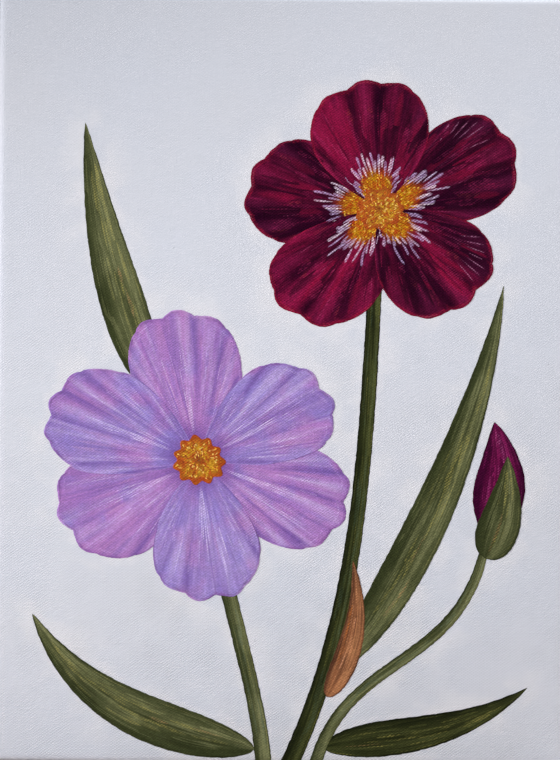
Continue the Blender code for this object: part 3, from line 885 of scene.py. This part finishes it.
def burgundy_petal(number, petal, material):
    seed = 300 + 10 * number
    warm = 0.12 if number in (3, 4) else -0.06
    paint = petal_paint(BURGUNDY, petal, burgundy_tint(seed, warm, petal[3], petal[4]), seed)
    for row in (
        (10, 0.0050, (132, 16, 50), (0.3, 0.65), (0.25, 0.5), 0.55),
        (8, 0.0050, (30, 4, 20), (0.3, 0.6), (0.3, 0.5), 0.65),
        (12, 0.0034, (156, 44, 86), (0.4, 0.75), (0.12, 0.3), 0.50, 0.9, False),
        (5, 0.0040, (172, 70, 62), (0.55, 0.8), (0.10, 0.2), 0.40, 0.9),
        (14, 0.0016, (150, 30, 70), (0.35, 0.7), (0.15, 0.35), 0.60, 0.7),
        (9, 0.0011, (190, 90, 130), (0.45, 0.75), (0.12, 0.28), 0.50, 0.9),
    ):
        form_strokes(paint, *row)
    veins(paint, petal, 0.0022, (28, 4, 20), 0.6, False)
    rim_strokes(paint, 8, 0.0012, (150, 24, 50), 0.75, 0.982, 0.6)
    rim_strokes(paint, 5, 0.0008, (200, 112, 120), 0.5, 0.990, 0.8)
    rim_strokes(paint, 4, 0.0010, (40, 4, 26), 0.7, 0.988, 0.7)
    if number in (1, 5):
        for i in range(7):
            v = np.linspace(0.70 + 0.02 * (i % 3), 0.94, 14)
            u = 0.20 + 0.055 * i + 0.10 * (v - 0.7) * (i - 3)
            paint.stroke(u, v, 0.0009, (212, 160, 190), 0.6, True, (0.6, 0.2), 0.6)
    random = paint.random
    run = np.linspace(0, 0.02, 5)
    for _ in range(90):
        v = run + random.uniform(0.14, 0.29)
        u = random.uniform(-0.75, 0.75) + run
        colour = ((200, 148, 28), (172, 76, 20), (214, 176, 70), (152, 50, 20))[random.integers(4)]
        paint.stroke(u, v, DAB, colour, 0.85, False, (0.4, 0.4))
    hairs(paint)
    paint.finish(f"burgundy_petal_{number}_paint", material, f"paint_burgundy_petal_{number}",
                 "crimson_paint" if number in (3, 4) else "burgundy_paint")


def blossom_centre(name, blossom, radius, teeth, depth, seed, material):
    place = centre_place(*blossom[:2], radius, teeth, depth)
    paint = Paint(place, gold_tint(seed), CENTRE_LAYER, (math.pi * radius, radius), seed)

    def relief(u, v):
        knobs = lattice_noise(12 * v * np.cos(math.pi * u), 12 * v * np.sin(math.pi * u), seed)
        return 0.00006 * knobs * step(1, 0.8, v)

    paint.film(120, 22, relief, 0.04, 1.0)
    random = paint.random
    for _ in range(170):
        v = np.linspace(0, 0.12, 5) + random.uniform(0.10, 0.85)
        u = random.uniform(-0.98, 0.98) + np.linspace(0, 0.04, 5) * random.uniform(-1, 1)
        colour = ((208, 162, 46), (172, 78, 22), (132, 50, 22), (222, 190, 100))[random.integers(4)]
        paint.stroke(u, v, DAB, colour, 0.85, False, (0.4, 0.3))
    paint.finish(f"{name}_paint", material, f"paint_{name}", "gold_paint")


def blade(name, seed, material):
    """A stem, a leaf or a part of the bud, with long strokes and dark lines at its edges."""
    steer, width, _, _, first_width, _, layer, slot = BLADES[name]
    base, dark, light, highlight = PALETTES[slot]
    length = line_length(steer)
    half = max(width, first_width) / 2
    tint = green_tint(seed, base, dark, light, length)
    paint = Paint(blade_place(*BLADES[name]), tint, layer, (half, length), seed)
    random = paint.random
    rows = max(60, int(length / LEAF_ROW))

    def relief(u, v):
        return RELIEF * (layered_noise(u * 3, v * length * 60, seed, 2) - 0.3)

    paint.film(28, rows, relief, steps=rows - 1)
    run = LEAF_STROKE / length
    size = length * half / LEAF_HALF
    many = int(130 * size) + 3
    whole = (0.02, 0.9)
    form_strokes(paint, many, 0.45 * half, light, whole, (run, 2 * run), 0.35, spread=0.75)
    form_strokes(paint, many, 0.45 * half, dark, whole, (run, 2 * run), 0.40, spread=0.9)
    if name == "sheath":
        for middle, share, colour in (
            (0.55, 0.5, (186, 108, 52)), (0.1, 0.35, (196, 142, 112)), (-0.6, 0.3, dark),
            (-0.15, 0.12, (70, 40, 30)), (0.32, 0.10, (84, 48, 32)),
        ):
            v = np.linspace(0.08, 0.92, 40)
            u = middle + 0.08 * np.sin(5 * v + 9 * middle)
            paint.stroke(u, v, half * share, colour, 0.75, True, (0.3, 0.4), 0.5)
    runs = (0.8 * run, 1.5 * run)
    form_strokes(paint, int(70 * size) + 2, 0.22 * half, highlight, (0.1, 0.8), runs, 0.5, 0.8, spread=0.5)
    if half > 0.005:
        for middle in np.linspace(0.22, 0.72, max(2, int(length / 0.03))):
            for i in range(3):
                start = middle + random.uniform(-0.5, 0.3) * run
                v = np.linspace(start, min(start + random.uniform(0.5, 1.1) * run, 0.95), 14)
                u = random.uniform(-0.55, 0.15) * np.ones(14)
                tan = i == 2 and middle < 0.4 and highlight == YELLOW_GREEN
                paint.stroke(u, v, half * random.uniform(0.08, 0.2), TAN if tan else highlight, 0.6, False,
                             (0.4, 0.5), 0.8)
    else:
        runs = (0.6 * run, 1.5 * run)
        form_strokes(paint, int(110 * length), 0.4 * half, BLUE_GREEN, whole, runs, 0.5, 0.6, spread=0.6)
    runs = (0.5 * run, 1.4 * run)
    for colour, strength in ((light, 0.55), (dark, 0.65), (np.array(dark) * 0.7, 0.6)):
        form_strokes(paint, int(150 * size) + 2, 0.0008, colour, (0.04, 0.85), runs, strength, 0.4)
    for side, colour, strength in ((1, np.array(dark) * 0.5, 0.9), (-1, np.array(dark) * 0.6, 0.8),
                                   (-0.93, highlight, 0.5)):
        for start in np.arange(0.01, 0.97, 1.3 * run):
            v = np.linspace(start, min(start + random.uniform(0.8, 1.5) * run, 0.99), 16)
            u = side * (0.95 - 0.04 * random.random()) * np.ones(16)
            paint.stroke(u, v, 0.0007, colour, strength * random.uniform(0.5, 1), True, (0.3, 0.3), 0.6)
    paint.finish(f"{name}_paint", material, f"paint_{name}", slot)


def painting():
    petals = paint_material("petal_paint", 0.48, 0.25, 0.05, 0.17)
    velvet = paint_material("burgundy_paint", 0.42, 0.02, 0.11, 0.30)
    greens = paint_material("leaf_paint", 0.48, 0.04, 0.09, 0.20)
    gold = paint_material("gold_paint", 0.44, 0.10, 0.12, 0.24)
    for i, name in enumerate(BLADES):
        blade(name, 500 + 7 * i, velvet if name == "bud_petal" else greens)
    for i, petal in enumerate(BURGUNDY_PETALS):
        burgundy_petal(i + 1, petal, velvet)
    blossom_centre("burgundy_centre", BURGUNDY, 0.012, 9, 0.0011, 71, gold)
    for i, petal in enumerate(LILAC_PETALS):
        lilac_petal(i + 1, petal, petals)
    blossom_centre("lilac_centre", LILAC, 0.013, 11, 0.0012, 73, gold)


def outlines():
    """Points along the edges of all the painted forms."""
    u = np.linspace(-0.97, 0.97, 90)
    v = np.linspace(0, 1, 90)
    ones = np.ones(90)
    found = [petal_place(*blossom, petal)(u, ones)
             for blossom, petals in ((LILAC, LILAC_PETALS), (BURGUNDY, BURGUNDY_PETALS)) for petal in petals]
    found += [blade_place(*shape)(side * ones, v) for shape in BLADES.values() for side in (-1, 1)]
    return np.concatenate([np.stack(line, axis=1) for line in found])


# The cloth

def edge_arc(middle, radius, first, last, steps=5):
    return [
        (middle[0] + radius * math.cos(a), middle[1] + radius * math.sin(a))
        for a in np.radians(np.linspace(first, last, steps + 1))
    ]


def ring_points(inset, depth, across, up):
    """A rectangle with round corners, and points on its sides at the grid's columns and rows."""
    radius = max(CORNER - inset, 0)
    across = np.clip(across, inset - WIDTH / 2, WIDTH / 2 - inset)
    up = np.clip(up, inset, HEIGHT - inset)
    sides = (
        [(s, HEIGHT - inset) for s in across[-2:0:-1]],
        [(inset - WIDTH / 2, s) for s in up[-2:0:-1]],
        [(s, inset) for s in across[1:-1]],
        [(WIDTH / 2 - inset, s) for s in up[1:-1]],
    )
    points = []
    for turn, right, top, side in zip((0, 90, 180, 270), (1, -1, -1, 1), (1, 1, -1, -1), sides):
        middle = (right * (WIDTH / 2 - inset - radius), HEIGHT / 2 + top * (HEIGHT / 2 - inset - radius))
        points += edge_arc(middle, radius, turn, turn + 90, 3) + side
    points = np.array(points)
    return np.stack([points[:, 0], np.full(len(points), depth), points[:, 1]], axis=1)


def ring_faces(first, second, n):
    """Quads between two rings of n points, which start at these numbers."""
    return [(first + (i - 1) % n, first + i, second + i, second + (i - 1) % n) for i in range(n)]


def merged(points, faces, kinds):
    """The same faces over points that aren't doubled, without the faces that have no area then."""
    keys = np.round(points / 1e-6).astype(np.int64)
    _, first, index = np.unique(keys, axis=0, return_index=True, return_inverse=True)
    index = index.ravel()
    kept = []
    kept_kinds = []
    for face, kind in zip(faces, kinds):
        corners = [int(index[i]) for i in face]
        corners = [c for i, c in enumerate(corners) if c != corners[i - 1]]
        if len(set(corners)) == len(corners) >= 3:
            kept.append(tuple(corners))
            kept_kinds.append(kind)
    return points[first], kept, kept_kinds


def cloth_colours(points):
    """The ground, with worn halos of cream on the face round the painted forms."""
    near = np.full(len(points), 1.0)
    edge = outlines()
    chunk = 4000
    for start in range(0, len(points), chunk):
        gap = points[start:start + chunk, None, [0, 2]] - edge[None, :, :]
        near[start:start + chunk] = np.sqrt((gap**2).sum(axis=-1).min(axis=1))
    drift = layered_noise(points[:, 0] * 70, points[:, 2] * 70, 41)
    worn = layered_noise(points[:, 0] * 90, points[:, 2] * 90, 43)
    on_face = (points[:, 1] < FRONT + FOLD / 3).astype(float)
    halo = HALO * np.exp(-((near / (0.002 + 0.010 * step(0.3, 0.7, drift))) ** 2))
    return linear(mix(GROUND, CREAM, halo * step(0.25, 0.6, worn) * on_face))


def cloth_piece(primed, raw):
    """One cloth: the face, the sides and the turned-over edge, with raw cotton inside."""
    columns = int((WIDTH - 2 * FOLD) / GRID) + 1
    rows = int((HEIGHT - 2 * FOLD) / GRID) + 1
    across = np.linspace(FOLD - WIDTH / 2, WIDTH / 2 - FOLD, columns)
    up = np.linspace(FOLD, HEIGHT - FOLD, rows)
    x, z = np.meshgrid(across, up, indexing="ij")
    points = []
    faces = []
    kinds = []
    last_rings = []
    count = 0
    for inside in (0, 1):
        shift = CLOTH * inside
        points.append(np.stack([x, face_depth(x, z) + shift, z], axis=-1).reshape(-1, 3))
        made = list(grid_faces(columns, rows, count)[:, ::-1])
        count += columns * rows
        section = [
            *edge_arc((FOLD, FRONT + FOLD), FOLD - shift, 270, 180),
            *[(shift, y) for y in np.linspace(FRONT + FOLD, BACK - BACK_FOLD, 9)[1:-1]],
            *edge_arc((BACK_FOLD, BACK - BACK_FOLD), BACK_FOLD - shift, 180, 90),
            *[(TURN_OVER * share, BACK - shift) for share in (0.45, 0.8, 1)],
        ]
        for k, (inset, depth) in enumerate(section):
            ring = ring_points(inset, depth, across, up)
            n = len(ring)
            if k == 0:
                ring[:, 1] = face_depth(ring[:, 0], ring[:, 2]) + shift
            if k >= len(section) - 2:
                amount = 0.0016 if k == len(section) - 1 else 0.0006
                shrink = amount * (layered_noise(ring[:, 0] * 90 + 30, ring[:, 2] * 90, 31, 3) - 0.5)
                ring[:, 0] *= 1 - shrink / (WIDTH / 2 - inset)
                ring[:, 2] = HEIGHT / 2 + (ring[:, 2] - HEIGHT / 2) * (1 - shrink / (HEIGHT / 2 - inset))
            points.append(ring)
            if k:
                made += ring_faces(count - n, count, n)
            count += n
        faces += [face[::-1] for face in made] if inside else made
        kinds += [inside] * len(made)
        last_rings.append(count - n)
    faces += ring_faces(*last_rings, n)
    kinds += [1] * n
    points, faces, kinds = merged(np.concatenate(points), faces, kinds)
    made = add_mesh("canvas_cloth", points, faces, primed, cloth_colours(points))
    made.data.materials.append(raw)
    made.data.polygons.foreach_set("material_index", np.array(kinds, np.int32))
    return made


def doubled_piece(name, upper, lower, columns, rows, flip, primed):
    """Cloth folded on itself, between two grids over the same places."""
    count = columns * rows
    rim = grid_rim(columns, rows)
    before = np.roll(rim, 1)
    faces = np.concatenate([
        grid_faces(columns, rows),
        grid_faces(columns, rows, count)[:, ::-1],
        np.stack([before, rim, count + rim, count + before], axis=1),
    ])
    return add_mesh(name, np.concatenate([upper, lower]), faces[:, ::-1] if flip else faces, primed,
                    np.tile(linear(GROUND), (2 * count, 1)))


def pleat_piece(name, right, top, primed):
    """The doubled cloth at one corner: a triangle on the side, from the corner to the back fold."""
    columns, rows = 22, 18
    a, b = np.meshgrid(np.linspace(0, 1, columns), np.linspace(0, 1, rows), indexing="ij")
    front = FRONT + FOLD * 0.8
    depth = front + (BACK - CLOTH - front) * b
    along = PLEAT_START + a * (PLEAT_LENGTH * (0.10 + 0.90 * b))
    soft = step(0, 0.06, a) * (1 - step(0.86, 1.0, a)) * step(0, 0.12, b)
    lift = PLEAT * (0.25 + 0.75 * soft) * step(-0.02, 0.1, b) - PRESSED
    turned = np.clip(depth - BACK + BACK_FOLD, 0, BACK_FOLD)
    side = WIDTH / 2 - BACK_FOLD + np.sqrt(BACK_FOLD**2 - turned**2)
    z = HEIGHT - along if top > 0 else along
    sheets = (side + lift, side - CLOTH / 2)
    upper, lower = (np.stack([right * x, depth, z], axis=-1).reshape(-1, 3) for x in sheets)
    return doubled_piece(name, upper, lower, columns, rows, right * top < 0, primed)


def lap_piece(name, right, top, primed):
    """The folded lap on the back at one corner, with its edge pressed down."""
    n = 26
    a, b = np.meshgrid(np.linspace(0, 1, n), np.linspace(0, 1, n), indexing="ij")
    near, far = BACK_FOLD * 0.7, TURN_OVER - BACK_FOLD / 2
    upward = near + (far - near) * b
    soft = step(0, 0.07, a) * (1 - step(0.94, 1, a)) * step(0, 0.07, b) * (1 - step(0.94, 1, b))
    fold = step(-0.04, 0.04, b - a)
    y = BACK - PRESSED + PLEAT * (0.10 + (0.50 + 0.40 * fold) * soft)
    x = right * (WIDTH / 2 - near - (far - near) * a)
    z = HEIGHT - upward if top > 0 else upward
    upper = np.stack([x, y, z], axis=-1).reshape(-1, 3)
    lower = upper.copy()
    lower[:, 1] = BACK - CLOTH / 2
    return doubled_piece(name, upper, lower, n, n, right * top > 0, primed)


def thread_piece(raw):
    """Cotton threads that have come loose along the cut edge of the turned-over cloth."""
    random = np.random.default_rng(77)
    points = []
    faces = []
    t = np.linspace(0, 1, 7)
    quarters = np.radians((0, 90, 180, 270))
    for i in range(THREADS):
        upright = random.random() < HEIGHT / (WIDTH + HEIGHT)
        side = 1 if random.random() < 0.5 else -1
        reach = (HEIGHT if upright else WIDTH) / 2 - TURN_OVER - 0.002
        place = random.uniform(-reach, reach)
        run = random.uniform(0.0010, 0.0042)
        lean = random.uniform(-0.8, 0.8)
        inward = TURN_OVER - 0.0012 + run * t
        aside = place + run * (lean * t + 0.5 * t**2 * random.uniform(-1, 1))
        y = BACK - CLOTH / 2 + random.uniform(-0.0001, 0.0004) * t
        if upright:
            path = np.stack([side * (WIDTH / 2 - inward), y, HEIGHT / 2 + aside], axis=1)
        else:
            path = np.stack([aside, y, HEIGHT / 2 + side * (HEIGHT / 2 - inward)], axis=1)
        ahead = np.gradient(path, axis=0)
        ahead /= np.linalg.norm(ahead, axis=1)[:, None]
        across = np.cross(ahead, (0, 1, 0))
        across /= np.linalg.norm(across, axis=1)[:, None]
        out = np.cross(ahead, across)
        thin = THREAD_RADIUS * (1 - 0.6 * t)[:, None]
        loops = [path + thin * (across * math.cos(k) + out * math.sin(k)) for k in quarters]
        points.append(np.stack(loops, axis=1).reshape(-1, 3))
        faces += tube_faces(len(t), 4, 4 * len(t) * i)
    return add_mesh("cut_edge_threads", np.concatenate(points), faces, raw)


def cloth():
    primed = primed_material()
    raw = raw_material()
    made = cloth_piece(primed, raw)
    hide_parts("canvas")
    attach(made, "root")
    others = []
    for right in (-1, 1):
        for top in (-1, 1):
            where = f"{'right' if right > 0 else 'left'}_{'top' if top > 0 else 'bottom'}"
            others.append(pleat_piece(f"pleat_{where}", right, top, primed))
            others.append(lap_piece(f"lap_{where}", right, top, primed))
    others.append(thread_piece(raw))
    for piece in others:
        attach(piece, "root")


# Wood and staples

def wood():
    pine = {axis: wood_material(f"pine_along_{'xyz'[axis]}", axis, (226, 198, 150), (190, 144, 92), 60.0)
            for axis in (0, 2)}
    key_wood = wood_material("key_wood", 0, (214, 182, 134), (176, 134, 90), 42.0)
    for name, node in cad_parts.items():
        if name.startswith("stretcher_bar"):
            low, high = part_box(name)
            made = pine[0 if high.x - low.x > high.z - low.z else 2]
        elif name.startswith("key_"):
            made = key_wood
        else:
            continue
        node.data.materials.clear()
        node.data.materials.append(made)


def staples():
    """Each staple's crown, with round shoulders, over the CAD legs' place."""
    steel = steel_material()
    half = CROWN / 2 - WIRE / 2
    line = np.array([
        (-half, -LEGS),
        *edge_arc((SHOULDER - half, -SHOULDER), SHOULDER, 180, 90, 4),
        *edge_arc((half - SHOULDER, -SHOULDER), SHOULDER, 90, 0, 4),
        (half, -LEGS),
    ])
    ahead = np.gradient(line, axis=0)
    ahead /= np.linalg.norm(ahead, axis=1)[:, None]
    turns = np.radians((30, 60, -60, -30, -150, -120, 120, 150))
    rounded = np.clip(1.6 * np.stack([np.cos(turns), np.sin(turns)], axis=1), -1, 1)
    section = rounded * (WIRE / 2, WIRE_WIDTH / 2)
    for name in [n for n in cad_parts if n.startswith("staple_")]:
        low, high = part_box(name)
        middle = (low + high) / 2
        level = high.x - low.x > high.z - low.z
        points = []
        for (along, height), (forward, rise) in zip(line, ahead):
            for off, side in section:
                u = along - rise * off
                y = high.y - WIRE / 2 + height + forward * off
                across, up = (u, side) if level else (side, u)
                points.append((middle.x + across, y, middle.z + up))
        made = add_mesh(f"{name}_wire", points, tube_faces(len(line), len(section), 0, not level), steel)
        made.data.set_sharp_from_angle(angle=math.radians(50))
        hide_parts(name)
        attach(made, "root")


# The room

def surroundings():
    data = bpy.data.meshes.new("floor")
    data.from_pydata([(-4, -4, 0), (4, -4, 0), (4, 4, 0), (-4, 4, 0)], [], [(0, 1, 2, 3)])
    data.materials.append(Nodes("floor").finish(Base_Color=(0.86, 0.765, 0.705, 1), Roughness=0.9))
    floor = placed("floor", data)
    world = bpy.data.worlds.new("world")
    world.use_nodes = True
    world.node_tree.nodes["Background"].inputs[0].default_value = (0.88, 0.90, 0.95, 1)
    world.node_tree.nodes["Background"].inputs[1].default_value = 0.36
    bpy.context.scene.world = world
    bpy.context.scene.view_settings.view_transform = "Standard"


def light(name, location, target, size, power, colour, spread):
    data = bpy.data.lights.new(name, "AREA")
    data.shape = "SQUARE"
    data.size = size
    data.energy = power
    data.color = colour
    data.spread = math.radians(spread)
    made = placed(name, data)
    made.location = location
    aim = Vector(target) - Vector(location)
    made.rotation_euler = aim.to_track_quat("-Z", "Y").to_euler()


def lights():
    """A window low on the left, dim light from the right, and light on the edges, the foot and the back."""
    white = (1.0, 1.0, 1.0)
    light("window", (-1.18, -0.74, 0.367), (-0.067, 0, 0.162), 0.3, 0.705, (1.0, 0.995, 1.0), 37.7)
    light("fill", (0.44, -0.61, 0.57), (0.099, 0, 0.36), 0.5, 0.46, white, 56)
    light("left", (-1.3, -0.05, 0.25), (-WIDTH / 2, 0, 0.2), 0.1, 0.46, white, 60)
    light("ceiling", (0.30, 0.12, 1.3), (0.03, 0, HEIGHT), 0.3, 0.56, white, 44)
    light("pool", (-0.09, -0.15, 0.9), (-0.09, -0.12, 0), 0.15, 0.009, (1.0, 0.90, 0.82), 16)
    light("back", (0.9, 1.6, 1.3), (0, 0, HEIGHT / 2), 1.2, 14, (1.0, 0.99, 0.97), 180)


def camera():
    """Square-on but for a small roll, as in the photograph, with a little of the right edge out of sight."""
    distance = 0.80
    seen_height = 0.4016
    data = bpy.data.cameras.new("camera")
    data.sensor_width = 36
    data.lens = data.sensor_width * distance / seen_height
    data.clip_start = 0.01
    made = placed("camera", data)
    made.location = (-0.0016, FRONT - distance, 0.2031)
    made.rotation_euler = (math.pi / 2, math.radians(-0.65), 0)
    bpy.context.scene.camera = made


camera()
lights()
surroundings()
cloth()
painting()
wood()
staples()
